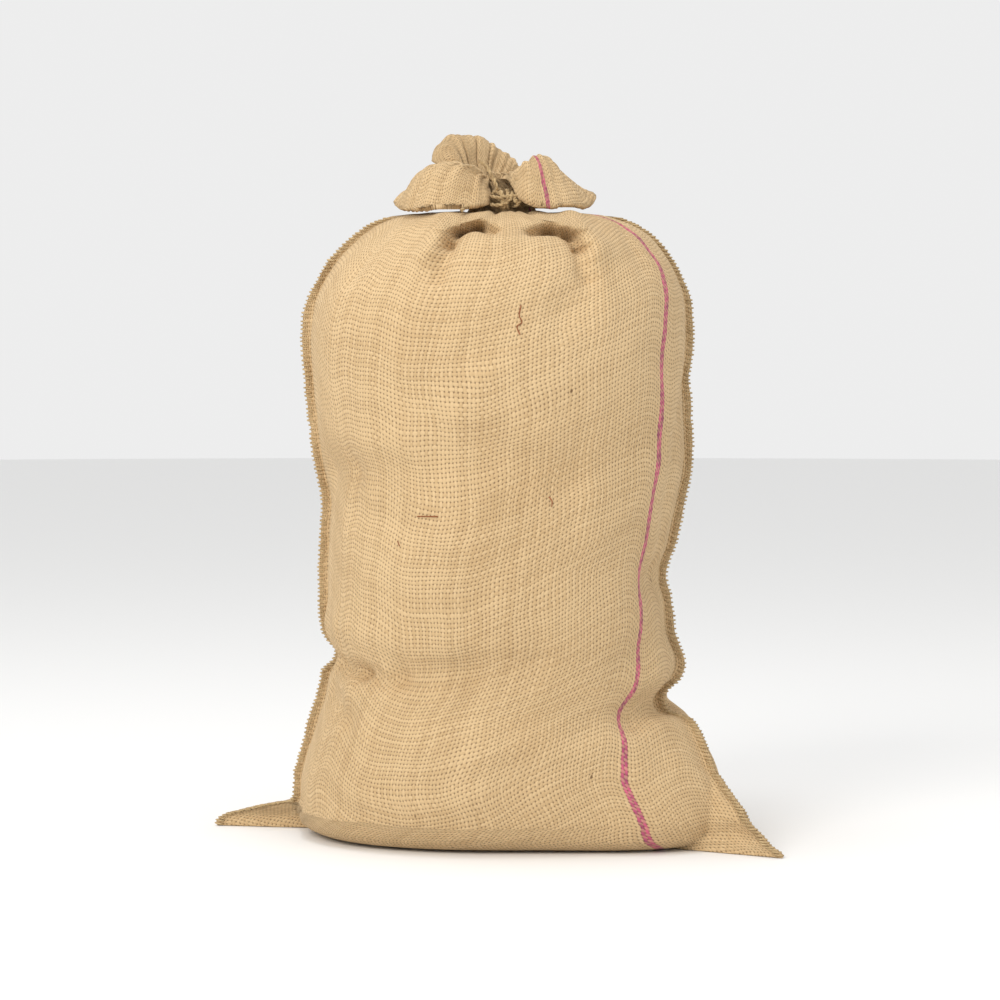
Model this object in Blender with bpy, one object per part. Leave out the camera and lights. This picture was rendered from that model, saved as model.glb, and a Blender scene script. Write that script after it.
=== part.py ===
"""A filled hessian sack, standing on its base and tied at the neck with jute twine.

The sack is one 50 cm wide length of hessian, folded across the bottom and sewn up both sides. Filled and
stood up it is a crowned body with a seam flange down each side, a pointed ear at each bottom corner, a
gathered neck and, above the tie, the open mouth turned out in folds.

+X is the right-hand side seen from the front, -Y is the front and +Z is up. The origin is on the floor, in
the middle of the box round the whole sack. Lengths are metres, and the tables are in millimetres and degrees.
"""

import math

import bmesh
import bpy
import numpy as np
from mathutils import Vector

MM = 0.001

# The cloth and how finely it is drawn
CLOTH = 2.2 * MM  # the mouth's folds are one cloth thick, with the yarns' own loft
FLANGE_REACH = 8 * MM  # the sewn edges stand out this far from the body
FLANGE_TIP = 1.7 * MM  # half the flange's thickness at its edge
FLANGE_ROOT = 3.2 * MM  # and where it leaves the body
FLANGE_MIDDLE = 0.45  # the place of its middle point, from its root to its edge
HALF_RING = 38  # points along the front of a ring, and as many along its back
OUTLINE_SAMPLES = 240  # points worked out along half a ring before it is divided evenly
FRILL_STEPS = 7  # rings from the neck to the hem
GATHERED_STEPS = 4  # rings over which the packed cloth of the neck opens to one thickness
EVENING_ROUNDS = 3  # how often the folds' normals are averaged before the cloth gets its inside

# The tie
TIE_HEIGHT = 551 * MM  # of the middle of the tie above the floor
TWINE = 3.6 * MM
TIE_TURNS = 3
TURN_PITCH = 0.92  # of the twine's thickness from one turn to the next
TURN_ANGLES = (-70, -35, 0, 35, 70)  # the points drawn round the outside of a turn
TURN_SUNK = 0.35  # the share of the twine's thickness that is filled in behind those points
TIE_INSIDE = 29 * MM
TIE_SIDES = 36
END_POINTS = 9  # along a free end
END_CURVE = 3  # the power of the smooth curve through its route

# Rings up the body. left, right, front and back are half-sizes; square is the superellipse's power; the
# seams' azimuths are degrees from +X, with the front at -90; an ear is how far the seam's edge reaches from
# the sack's axis, or 0 where there is only the flange; a corner is how far the body is drawn out towards
# that seam.
RING_COLUMNS = (
    "height", "left", "right", "front", "back", "square",
    "left_seam", "right_seam", "left_ear", "right_ear", "left_corner", "right_corner",
)
RINGS = (
    (0, 144, 148, 112, 110, 2.30, 171, -33, 252, 292, 10, 34),
    (3, 158, 158, 127, 123, 2.30, 171, -33, 253, 292, 10, 36),
    (9, 169, 166, 136, 131, 2.30, 171, -33, 248, 282, 9, 38),
    (15, 174, 170, 142, 136, 2.30, 171, -32, 228, 272, 8, 38),
    (20, 177, 172, 145, 139, 2.30, 172, -32, 212, 265, 5, 38),
    (25, 178, 173, 148, 142, 2.30, 172, -32, 0, 259, 2, 37),
    (34, 178, 173, 151, 145, 2.30, 173, -31, 0, 249, 0, 35),
    (47, 177, 172, 154, 147, 2.30, 173, -29, 0, 232, 0, 31),
    (64, 173, 170, 155, 149, 2.30, 174, -27, 0, 213, 0, 24),
    (84, 166, 165, 155, 149, 2.30, 175, -24, 0, 194, 0, 15),
    (104, 160, 157, 152, 148, 2.30, 176, -20, 0, 0, 0, 6),
    (119, 155, 144, 148, 147, 2.30, 177, -15, 0, 0, 0, 0),
    (139, 151, 149, 145, 147, 2.30, 178, -11, 0, 0, 0, 0),
    (159, 146, 149, 144, 149, 2.30, 178, -8, 0, 0, 0, 0),
    (178, 150, 144, 150, 152, 2.30, 179, -6, 0, 0, 0, 0),
    (203, 152, 140, 154, 155, 2.30, 180, -5, 0, 0, 0, 0),
    (230, 152, 138, 156, 156, 2.30, 180, -4, 0, 0, 0, 0),
    (262, 151, 144, 155, 153, 2.30, 180, -3, 0, 0, 0, 0),
    (290, 149, 151, 151, 149, 2.30, 180, -2, 0, 0, 0, 0),
    (326, 156, 157, 147, 147, 2.30, 180, 0, 0, 0, 0, 0),
    (362, 161, 158, 149, 148, 2.30, 180, 1, 0, 0, 0, 0),
    (398, 165, 158, 150, 149, 2.30, 180, 2, 0, 0, 0, 0),
    (432, 167, 159, 146, 147, 2.28, 180, 4, 0, 0, 0, 0),
    (463, 163, 158, 137, 140, 2.25, 180, 7, 0, 0, 0, 0),
    (486, 153, 152, 127, 131, 2.20, 181, 9, 0, 0, 0, 0),
    (506, 139, 141, 112, 118, 2.15, 182, 10, 0, 0, 0, 0),
    (523, 122, 127, 94, 102, 2.10, 183, 10, 0, 0, 0, 0),
    (535, 103, 107, 75, 84, 2.05, 183, 10, 0, 0, 0, 0),
    (541, 83, 84, 58, 66, 2.00, 183, 10, 0, 0, 0, 0),
    (542, 62, 62, 44, 50, 2.00, 183, 10, 0, 0, 0, 0),
    (540, 43, 43, 34, 37, 2.00, 183, 10, 0, 0, 0, 0),
    (539, 29, 29, 26, 27, 2.00, 183, 10, 0, 0, 0, 0),
    (543, 24, 24, 23, 23, 2.00, 183, 10, 0, 0, 0, 0),
    (556, 24, 24, 23, 23, 2.00, 183, 10, 0, 0, 0, 0),
)
CORNER_WIDTH = 24.0  # degrees to each side that a drawn-out corner takes in
NECK_RINGS = 4  # the last rings, where the flange is gathered in with the pleats
NECK_FLANGE = 1.5 * MM

# Troughs and ridges across the body, each from one point to another as seen from its side. A depth below 0 is
# a trough. The distance at which it has mostly faded is its width.
CREASE_COLUMNS = ("side", "x0", "z0", "x1", "z1", "width", "depth")
CREASES = (
    # the two pockets under the gathered neck, and the ridges that hang over them
    ("front", -10, 538, -34, 531, 8, -11),
    ("front", -34, 531, -52, 513, 8, -7),
    ("front", -52, 513, -56, 478, 11, -4),
    ("front", 20, 536, 52, 531, 8, -11),
    ("front", 52, 531, 66, 508, 9, -7),
    ("front", 66, 508, 70, 480, 12, -3),
    ("front", -14, 544, -50, 536, 9, 3),
    ("front", -50, 536, -64, 508, 11, 4),
    ("front", 14, 544, 60, 539, 9, 3),
    ("front", 60, 539, 82, 508, 12, 4),
    ("front", 0, 542, 4, 528, 7, 5),
    # the round of the filling under them, and the soft hollows beside it
    ("front", -18, 470, 18, 470, 48, 5),
    ("front", -62, 482, -46, 446, 15, -4),
    ("front", 88, 486, 48, 452, 16, -4),
    ("front", -28, 420, -20, 418, 16, -3),
    # the hollow at the left and the shallow troughs across the middle
    ("front", -150, 318, -132, 320, 20, -8),
    ("front", -130, 322, -54, 332, 14, -3),
    ("front", -18, 347, 54, 316, 15, -4),
    ("front", -124, 286, -84, 276, 13, -3),
    ("front", 158, 400, 134, 240, 15, -3),
    ("front", 136, 228, 126, 226, 18, -6),
    # the deep fold at the left, with the round above it hanging over
    ("front", -150, 186, -50, 168, 17, 4),
    ("front", -154, 160, -90, 150, 9, -7),
    ("front", -90, 150, -30, 150, 13, -4),
    ("front", -130, 134, -100, 134, 20, 3),
    ("front", -148, 130, -130, 112, 11, -3),
    # the notch above the right ear
    ("front", 150, 122, 140, 124, 16, -6),
    ("front", 140, 124, 112, 112, 15, -4),
    ("front", 120, 168, 104, 160, 17, -3),
    ("front", -60, 92, 60, 92, 44, 3),
    # the back's own folds
    ("back", 20, 540, 34, 506, 10, -6),
    ("back", -30, 540, -58, 500, 11, -6),
    ("back", -6, 500, 4, 450, 34, 4),
    ("back", -140, 300, -40, 314, 16, -5),
    ("back", 140, 226, 30, 252, 16, -5),
    ("back", -150, 160, -60, 166, 13, -5),
    ("back", 140, 118, 60, 132, 16, -4),
    ("back", -60, 400, 60, 392, 20, -3),
)
CREASE_SAMPLES = 9

NECK_CLEAR = 12 * MM  # creases fade out over this much round the neck
BASE_HEIGHT = 20 * MM  # and below this height, down to the floor
SHOULDER_HEIGHT = 400 * MM

# Pleats that run out from the tie: how many go round, their share of the depth, and where they start
NECK_RADIUS = 24 * MM
PLEATS = ((13, 1.0, 0.0), (7, 0.5, 1.0))
PLEAT_DEPTH = 2.2 * MM
PLEAT_REACH = 30 * MM
PLEAT_START = 8 * MM  # they reach their full depth this far from the neck
PLEAT_LEAST = 0.3  # and have this share of it on the neck itself

# Folds of the mouth, above the tie, going round from the left seam by way of the front. share is how much of
# the mouth's cloth has been passed; azimuth is where the fold stands, with the left seam at 180, the front at
# 270 and the right at 360; the crest is the fold's highest part and the hem is its edge, each with its reach
# from the neck's axis and its height above the tie's middle.
FOLD_COLUMNS = ("share", "azimuth", "crest_reach", "crest_height", "hem_reach", "hem_height")
FOLDS = (
    (0.00, 182, 56, 16, 86, 6),
    (0.05, 194, 67, 27, 89, -1),
    (0.10, 206, 67, 31, 87, -4),
    (0.15, 219, 58, 30, 75, -4),
    (0.19, 232, 45, 27, 58, -1),
    (0.225, 243, 36, 22, 44, 6),
    (0.26, 255, 31, 20, 37, 12),
    (0.30, 270, 31, 20, 37, 12),
    (0.34, 287, 35, 23, 44, 6),
    (0.38, 303, 40, 33, 56, -1),
    (0.43, 320, 46, 37, 68, -2),
    (0.47, 336, 48, 31, 73, 0),
    (0.51, 351, 50, 18, 77, 6),
    (0.55, 365, 45, 16, 70, 8),
    (0.585, 378, 36, 18, 46, 14),
    (0.62, 391, 41, 23, 58, 16),
    (0.67, 407, 46, 30, 64, 18),
    (0.71, 422, 34, 27, 42, 24),
    (0.75, 437, 29, 30, 34, 32),
    (0.79, 452, 34, 42, 50, 38),
    (0.84, 470, 40, 51, 58, 41),
    (0.89, 488, 47, 56, 64, 43),
    (0.93, 503, 51, 56, 64, 44),
    (0.96, 516, 49, 45, 60, 37),
    (0.98, 528, 47, 29, 62, 22),
)
CREST_AT = 0.55  # the crest's place along the way from the neck to the hem

# The knot at the front of the neck, and the twine's two free ends, from the knot outwards
KNOT_CENTRE = (0 * MM, -40 * MM, TIE_HEIGHT + 2 * MM)
KNOT_RADII = (11 * MM, 5 * MM, 6 * MM)
KNOT_LUMPS = 0.10
END_LOW = (
    (-13.5, -42, 551), (-18, -45, 550), (-23, -49, 549), (-28, -54, 547), (-32, -60, 545), (-35, -67, 542),
)
END_HIGH = (
    (-4, -42, 561), (-6, -44, 566), (-8, -44, 571), (-11, -42, 577), (-15, -40, 582), (-20, -38, 586),
)

HESSIAN = (0.53, 0.37, 0.21)
JUTE_TWINE = (0.50, 0.35, 0.19)


def clear_scene():
    for thing in list(bpy.data.objects):
        bpy.data.objects.remove(thing, do_unlink=True)


def table(columns, rows, name):
    """One column of a table as an array."""
    return np.array([line[columns.index(name)] for line in rows], float)


def material(name, colour):
    made = bpy.data.materials.new(name)
    made.use_nodes = True
    shader = made.node_tree.nodes["Principled BSDF"]
    shader.inputs["Base Color"].default_value = (*colour, 1)
    shader.inputs["Roughness"].default_value = 0.9
    shader.inputs["Metallic"].default_value = 0.0
    return made


# ---------------------------------------------------------------- the body


def outline(ring, azimuth):
    """How far the body reaches from its axis at these azimuths, in radians, with its corners drawn out."""
    across = np.where(np.cos(azimuth) < 0, ring["left"], ring["right"])
    along = np.where(np.sin(azimuth) < 0, ring["front"], ring["back"])
    power = ring["square"]
    terms = np.abs(np.cos(azimuth) / across) ** power + np.abs(np.sin(azimuth) / along) ** power
    reach = terms ** (-1 / power)
    for side in ("left", "right"):
        away = azimuth - math.radians(ring[side + "_seam"])
        away = np.degrees(np.arctan2(np.sin(away), np.cos(away)))
        reach = reach + ring[side + "_corner"] * np.exp(-((away / CORNER_WIDTH) ** 2))
    return reach


def spread_evenly(points, count):
    """count points along a line of points, the same distance apart."""
    along = np.concatenate([[0], np.cumsum(np.linalg.norm(np.diff(points, axis=0), axis=1))])
    at = np.linspace(0, along[-1], count)
    return np.stack([np.interp(at, along, points[:, k]) for k in range(points.shape[1])], axis=1)


def flange(ring, side, face, reach_out):
    """Three points of a seam's flange or ear, edge first. face is +1 on the side azimuth grows towards."""
    seam = math.radians(ring[side + "_seam"])
    outwards = np.array([math.cos(seam), math.sin(seam)])
    sideways = np.array([-outwards[1], outwards[0]]) * face
    root = float(outline(ring, np.array([seam]))[0])
    edge = max(root + reach_out, ring[side + "_ear"])
    middle = root + FLANGE_MIDDLE * (edge - root)
    half = (FLANGE_TIP, 0.5 * (FLANGE_TIP + FLANGE_ROOT), FLANGE_ROOT)
    return [outwards * reach + sideways * thick for reach, thick in zip((edge, middle, root), half)]


def ring_points(ring, reach_out):
    """One ring round the sack: front half from the left seam to the right, then the back half."""
    left = math.radians(ring["left_seam"])
    right = math.radians(ring["right_seam"] + 360)
    halves = []
    clear = math.asin(FLANGE_ROOT / ring["front"])
    spans = (
        (left, right, ("left", 1), ("right", -1)),
        (right, left + 2 * math.pi, ("right", 1), ("left", -1)),
    )
    for start, end, first, last in spans:
        azimuth = np.linspace(start + clear, end - clear, OUTLINE_SAMPLES)
        reach = outline(ring, azimuth)
        body = np.stack([reach * np.cos(azimuth), reach * np.sin(azimuth)], axis=1)
        body = spread_evenly(body, HALF_RING - 4)
        begin = flange(ring, *first, reach_out)[:2]
        finish = flange(ring, *last, reach_out)[:2]
        halves.append(np.concatenate([begin, body, finish[::-1]]))
    flat = np.concatenate(halves)
    return np.column_stack([flat, np.full(len(flat), ring["height"])])


def body_rings():
    """The rings up the body, as an array of rings of points."""
    columns = [table(RING_COLUMNS, RINGS, name) for name in RING_COLUMNS]
    units = [1.0 if name in ("square", "left_seam", "right_seam") else MM for name in RING_COLUMNS]
    made = []
    for number, values in enumerate(zip(*columns)):
        ring = {name: value * unit for name, value, unit in zip(RING_COLUMNS, values, units)}
        in_neck = number >= len(RINGS) - NECK_RINGS
        made.append(ring_points(ring, NECK_FLANGE if in_neck else FLANGE_REACH))
    return np.array(made)


def normals_of(grid):
    """Outward unit normals of a grid of closed rings."""
    around = np.roll(grid, -1, axis=1) - np.roll(grid, 1, axis=1)
    up = np.gradient(grid, axis=0)
    normal = np.cross(around, up)
    return normal / np.maximum(np.linalg.norm(normal, axis=2, keepdims=True), 1e-12)


def evened(normal):
    """The normals again, each the mean of its near neighbours, so that a tight fold's inside is smooth."""
    for _ in range(EVENING_ROUNDS):
        normal = normal + np.roll(normal, 1, axis=1) + np.roll(normal, -1, axis=1)
        normal = normal / np.linalg.norm(normal, axis=2, keepdims=True)
    return normal


def creased(grid):
    """The rings with every trough and ridge pressed in along the cloth's normal."""
    normal = normals_of(grid)
    push = np.zeros(grid.shape[:2])
    for values in CREASES:
        crease = dict(zip(CREASE_COLUMNS, values))
        side = grid[..., 1] < 0 if crease["side"] == "front" else grid[..., 1] > 0
        points = grid[side]
        nearest = np.full(grid.shape[:2], np.inf)
        for share in np.linspace(0, 1, CREASE_SAMPLES):
            x = (crease["x0"] + share * (crease["x1"] - crease["x0"])) * MM
            z = (crease["z0"] + share * (crease["z1"] - crease["z0"])) * MM
            centre = points[np.argmin((points[:, 0] - x) ** 2 + (points[:, 2] - z) ** 2)]
            nearest = np.minimum(nearest, np.linalg.norm(grid - centre, axis=2))
        push += crease["depth"] * MM * np.exp(-((nearest / (crease["width"] * MM)) ** 2))
    from_axis = np.linalg.norm(grid[..., :2], axis=2)
    push *= np.clip((from_axis - NECK_RADIUS) / NECK_CLEAR, 0, 1)
    azimuth = np.arctan2(grid[..., 1], grid[..., 0])
    shoulder = grid[..., 2] > SHOULDER_HEIGHT
    fade = np.exp(-((np.maximum(from_axis - NECK_RADIUS, 0) / PLEAT_REACH) ** 2)) * shoulder
    fade = fade * np.clip((from_axis - NECK_RADIUS) / PLEAT_START, PLEAT_LEAST, 1)
    for count, share, turn in PLEATS:
        push += PLEAT_DEPTH * fade * share * np.cos(count * azimuth + turn)
    on_floor = np.clip(grid[..., 2] / BASE_HEIGHT, 0, 1)[..., None]
    return grid + with_stiff_seams(normal * push[..., None] * on_floor)


def with_stiff_seams(move):
    """The moves again, with each seam's flange carried along whole by the cloth on its two sides."""
    count = move.shape[1]
    half = count // 2
    for front, back, flange_columns in (
        (3, count - 4, (0, 1, 2, count - 1, count - 2, count - 3)),
        (half - 4, half + 3, (half - 1, half - 2, half - 3, half, half + 1, half + 2)),
    ):
        carried = 0.5 * (move[:, front] + move[:, back])
        for column in flange_columns:
            move[:, column] = carried
    return move


# ---------------------------------------------------------------- the mouth above the tie


def round_and_round(shares, values, at):
    """A smooth closed curve through values at shares of one turn, read at other shares."""
    shares = np.concatenate([shares[-2:] - 1, shares, shares[:3] + 1])
    values = np.concatenate([values[-2:], values, values[:3]])
    spot = np.clip(np.searchsorted(shares, at, side="right") - 1, 1, len(shares) - 3)
    span = shares[spot + 1] - shares[spot]
    part = (at - shares[spot]) / span
    slope = (values[2:] - values[:-2]) / (shares[2:] - shares[:-2])
    rise, fall = slope[spot - 1] * span, slope[spot] * span
    low, high = values[spot], values[spot + 1]
    cubic, square = part**3, part**2
    return (
        (2 * cubic - 3 * square + 1) * low
        + (cubic - 2 * square + part) * rise
        + (3 * square - 2 * cubic) * high
        + (cubic - square) * fall
    )


def frill_rings(neck):
    """The rings from the neck's last ring, up over the folds' crests and out to the hem."""
    count = neck.shape[0]
    at = (np.arange(count) + 0.5) / count
    shares = table(FOLD_COLUMNS, FOLDS, "share")
    azimuths = table(FOLD_COLUMNS, FOLDS, "azimuth")
    turn = np.radians(360 * at + round_and_round(shares, azimuths - 360 * shares, at))
    fold = {}
    for name in FOLD_COLUMNS[2:]:
        fold[name] = round_and_round(shares, table(FOLD_COLUMNS, FOLDS, name), at) * MM
    start = np.unwrap(np.arctan2(neck[:, 1], neck[:, 0]))
    start = start + 2 * math.pi * np.round((turn[0] - start[0]) / (2 * math.pi))
    start_reach = np.linalg.norm(neck[:, :2], axis=1)
    start_height = neck[:, 2] - TIE_HEIGHT
    rings = []
    for step in range(1, FRILL_STEPS + 1):
        part = step / FRILL_STEPS
        swing = min(1.0, part / CREST_AT)
        swing = swing * swing * (3 - 2 * swing)
        azimuth = start + (turn - start) * swing
        neck_weight, crest_weight, hem_weight = quadratic(part)
        reach = neck_weight * start_reach + crest_weight * fold["crest_reach"]
        reach = reach + hem_weight * fold["hem_reach"]
        height = neck_weight * start_height + crest_weight * fold["crest_height"]
        height = height + hem_weight * fold["hem_height"]
        ring = [reach * np.cos(azimuth), reach * np.sin(azimuth), TIE_HEIGHT + height]
        rings.append(np.stack(ring, axis=1))
    return np.array(rings)


def quadratic(part):
    """Weights of the neck, the crest and the hem at a part of the way along a fold."""
    crest = CREST_AT
    neck_weight = (part - crest) * (part - 1) / crest
    crest_weight = part * (1 - part) / (crest * (1 - crest))
    hem_weight = part * (part - crest) / (1 - crest)
    return neck_weight, crest_weight, hem_weight


# ---------------------------------------------------------------- solids


def solid(name, points, faces, finish):
    mesh = bpy.data.meshes.new(name)
    mesh.from_pydata([tuple(p) for p in points], [], faces)
    shape = bmesh.new()
    shape.from_mesh(mesh)
    bmesh.ops.recalc_face_normals(shape, faces=shape.faces)
    shape.to_mesh(mesh)
    shape.free()
    mesh.materials.append(finish)
    mesh.shade_smooth()
    thing = bpy.data.objects.new(name, mesh)
    bpy.context.scene.collection.objects.link(thing)
    return thing


def make_sack(finish):
    """One closed skin: base, body, neck, the outside of the mouth's folds, then their inside to the neck."""
    body = creased(body_rings())
    outside = frill_rings(body[-1])
    whole = np.concatenate([body, outside])
    inwards = -evened(normals_of(whole))[len(body) :]
    thick = CLOTH * np.clip(np.arange(1, FRILL_STEPS + 1) / GATHERED_STEPS, 0, 1)
    inside = (outside + inwards * thick[:, None, None])[::-1]
    rings = np.concatenate([whole, inside])
    count = rings.shape[1]
    faces = []
    for ring in range(len(rings) - 1):
        for k in range(count):
            after = (k + 1) % count
            low, high = ring * count, (ring + 1) * count
            faces.append((low + k, low + after, high + after, high + k))
    points = rings.reshape(-1, 3).tolist()
    faces.append(tuple(range(count))[::-1])
    last = (len(rings) - 1) * count
    middle = np.mean(rings[-1], axis=0)
    points.append(tuple(middle))
    for k in range(count):
        faces.append((last + k, last + (k + 1) % count, len(points) - 1))
    return solid("sack", points, faces, finish)


def make_tie(finish):
    """The wound twine: one ring whose section shows its turns as rounds, one above the other."""
    pitch = TWINE * TURN_PITCH
    profile = [(TIE_INSIDE, TIE_HEIGHT - TIE_TURNS * pitch / 2)]
    for turn in range(TIE_TURNS):
        centre = TIE_HEIGHT + (turn - (TIE_TURNS - 1) / 2) * pitch
        for angle in TURN_ANGLES:
            bulge = math.radians(angle)
            reach = TIE_INSIDE + TWINE * (TURN_SUNK + (1 - TURN_SUNK) * math.cos(bulge))
            profile.append((reach, centre + 0.5 * TWINE * math.sin(bulge)))
    profile.append((TIE_INSIDE, TIE_HEIGHT + TIE_TURNS * pitch / 2))
    points = []
    for step in range(TIE_SIDES):
        angle = 2 * math.pi * step / TIE_SIDES
        points += [(reach * math.cos(angle), reach * math.sin(angle), height) for reach, height in profile]
    size = len(profile)
    faces = []
    for step in range(TIE_SIDES):
        here, there = step * size, (step + 1) % TIE_SIDES * size
        for k in range(size):
            after = (k + 1) % size
            faces.append((here + k, there + k, there + after, here + after))
    return solid("neck_tie", points, faces, finish)


def make_knot(finish):
    """The knot, a squat lump of crossed twine in front of the turns."""
    shape = bmesh.new()
    bmesh.ops.create_icosphere(shape, subdivisions=2, radius=1.0)
    for corner in shape.verts:
        x, y, z = corner.co
        lumps = 1 + KNOT_LUMPS * math.sin(5 * x + 2) * math.cos(4 * z)
        corner.co = Vector([c + r * lumps * v for c, r, v in zip(KNOT_CENTRE, KNOT_RADII, (x, y, z))])
    mesh = bpy.data.meshes.new("tie_knot")
    shape.to_mesh(mesh)
    shape.free()
    mesh.materials.append(finish)
    mesh.shade_smooth()
    thing = bpy.data.objects.new("tie_knot", mesh)
    bpy.context.scene.collection.objects.link(thing)
    return thing


def make_end(name, route, finish):
    """A free end of twine, a round tube on a smooth curve through the route."""
    route = np.array(route, float) * MM
    along = np.linspace(0, 1, len(route))
    at = np.linspace(0, 1, END_POINTS)
    curves = [np.polyfit(along, route[:, k], END_CURVE) for k in range(3)]
    smooth = np.stack([np.polyval(curve, at) for curve in curves], axis=1)
    line = bpy.data.curves.new(name, "CURVE")
    line.dimensions = "3D"
    line.bevel_depth = TWINE / 2
    line.bevel_resolution = 2
    line.use_fill_caps = True
    spline = line.splines.new("POLY")
    spline.points.add(len(smooth) - 1)
    for point, place in zip(spline.points, smooth):
        point.co = (*place, 1)
    line.materials.append(finish)
    thing = bpy.data.objects.new(name, line)
    bpy.context.scene.collection.objects.link(thing)
    return thing


def centre_on_floor(things):
    """Moves everything so that the origin is below the middle of the box round the whole."""
    bpy.context.view_layer.update()
    corners = [thing.matrix_world @ Vector(corner) for thing in things for corner in thing.bound_box]
    low = [min(corner[k] for corner in corners) for k in range(3)]
    high = [max(corner[k] for corner in corners) for k in range(3)]
    shift = Vector((-(low[0] + high[0]) / 2, -(low[1] + high[1]) / 2, -low[2]))
    for thing in things:
        thing.location += shift


def main():
    clear_scene()
    hessian = material("hessian", HESSIAN)
    twine = material("jute_twine", JUTE_TWINE)
    things = [
        make_sack(hessian),
        make_tie(twine),
        make_knot(twine),
        make_end("tie_end_low", END_LOW, twine),
        make_end("tie_end_high", END_HIGH, twine),
    ]
    centre_on_floor(things)


main()
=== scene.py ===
"""The looks of the filled hessian sack: its cloth with the folds, stitched seams, turned-out mouth and twine.

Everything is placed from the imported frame. The tie's box gives the neck's axis and height. Tables are in
millimetres and degrees, and the sack's cloth repeats the rings of its CAD solid, drawn finely.
"""

import math

import bmesh
import bpy
import numpy as np
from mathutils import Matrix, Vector, noise


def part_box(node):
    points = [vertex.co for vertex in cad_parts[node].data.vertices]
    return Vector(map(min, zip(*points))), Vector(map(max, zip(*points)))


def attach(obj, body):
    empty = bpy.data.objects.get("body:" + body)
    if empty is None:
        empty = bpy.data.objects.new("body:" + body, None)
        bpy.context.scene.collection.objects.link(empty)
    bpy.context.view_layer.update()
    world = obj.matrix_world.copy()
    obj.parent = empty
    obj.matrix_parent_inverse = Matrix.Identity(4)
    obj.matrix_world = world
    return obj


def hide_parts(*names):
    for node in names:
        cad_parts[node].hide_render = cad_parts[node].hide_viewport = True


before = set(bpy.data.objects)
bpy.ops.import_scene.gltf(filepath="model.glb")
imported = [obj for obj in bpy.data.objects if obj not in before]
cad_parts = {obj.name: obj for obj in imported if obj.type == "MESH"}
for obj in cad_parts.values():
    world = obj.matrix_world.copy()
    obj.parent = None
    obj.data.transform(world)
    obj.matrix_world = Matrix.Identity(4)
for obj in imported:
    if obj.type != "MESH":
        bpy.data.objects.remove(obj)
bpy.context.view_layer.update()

MM = 0.001
TIE_LOW, TIE_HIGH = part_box("neck_tie")
AXIS = np.array([(TIE_LOW.x + TIE_HIGH.x) / 2, (TIE_LOW.y + TIE_HIGH.y) / 2, 0.0])
TIE_HEIGHT = (TIE_LOW.z + TIE_HIGH.z) / 2

# The cloth
CLOTH = 2.0 * MM  # one thickness, with the yarns' own loft
HEM = 3.6 * MM  # the doubled edge of the mouth
HEM_SHARE = 0.14  # of the way from the neck to the edge that is doubled
FLANGE_REACH = 8 * MM  # the sewn edges stand out this far from the body
FLANGE_TIP = 1.7 * MM  # half the flange's thickness at its edge
FLANGE_ROOT = 3.2 * MM  # and where it leaves the body
FLANGE_STEPS = 4  # columns across the flange
HALF = 160  # columns along the front of a ring, and as many along its back
SACK_WIDTH = 0.5  # the sack's flat width, so the cloth's u runs from 0 to twice this
FRILL_STEPS = 26  # rings from the neck to the mouth's edge
NECK_RADIUS = 26.5 * MM

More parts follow.
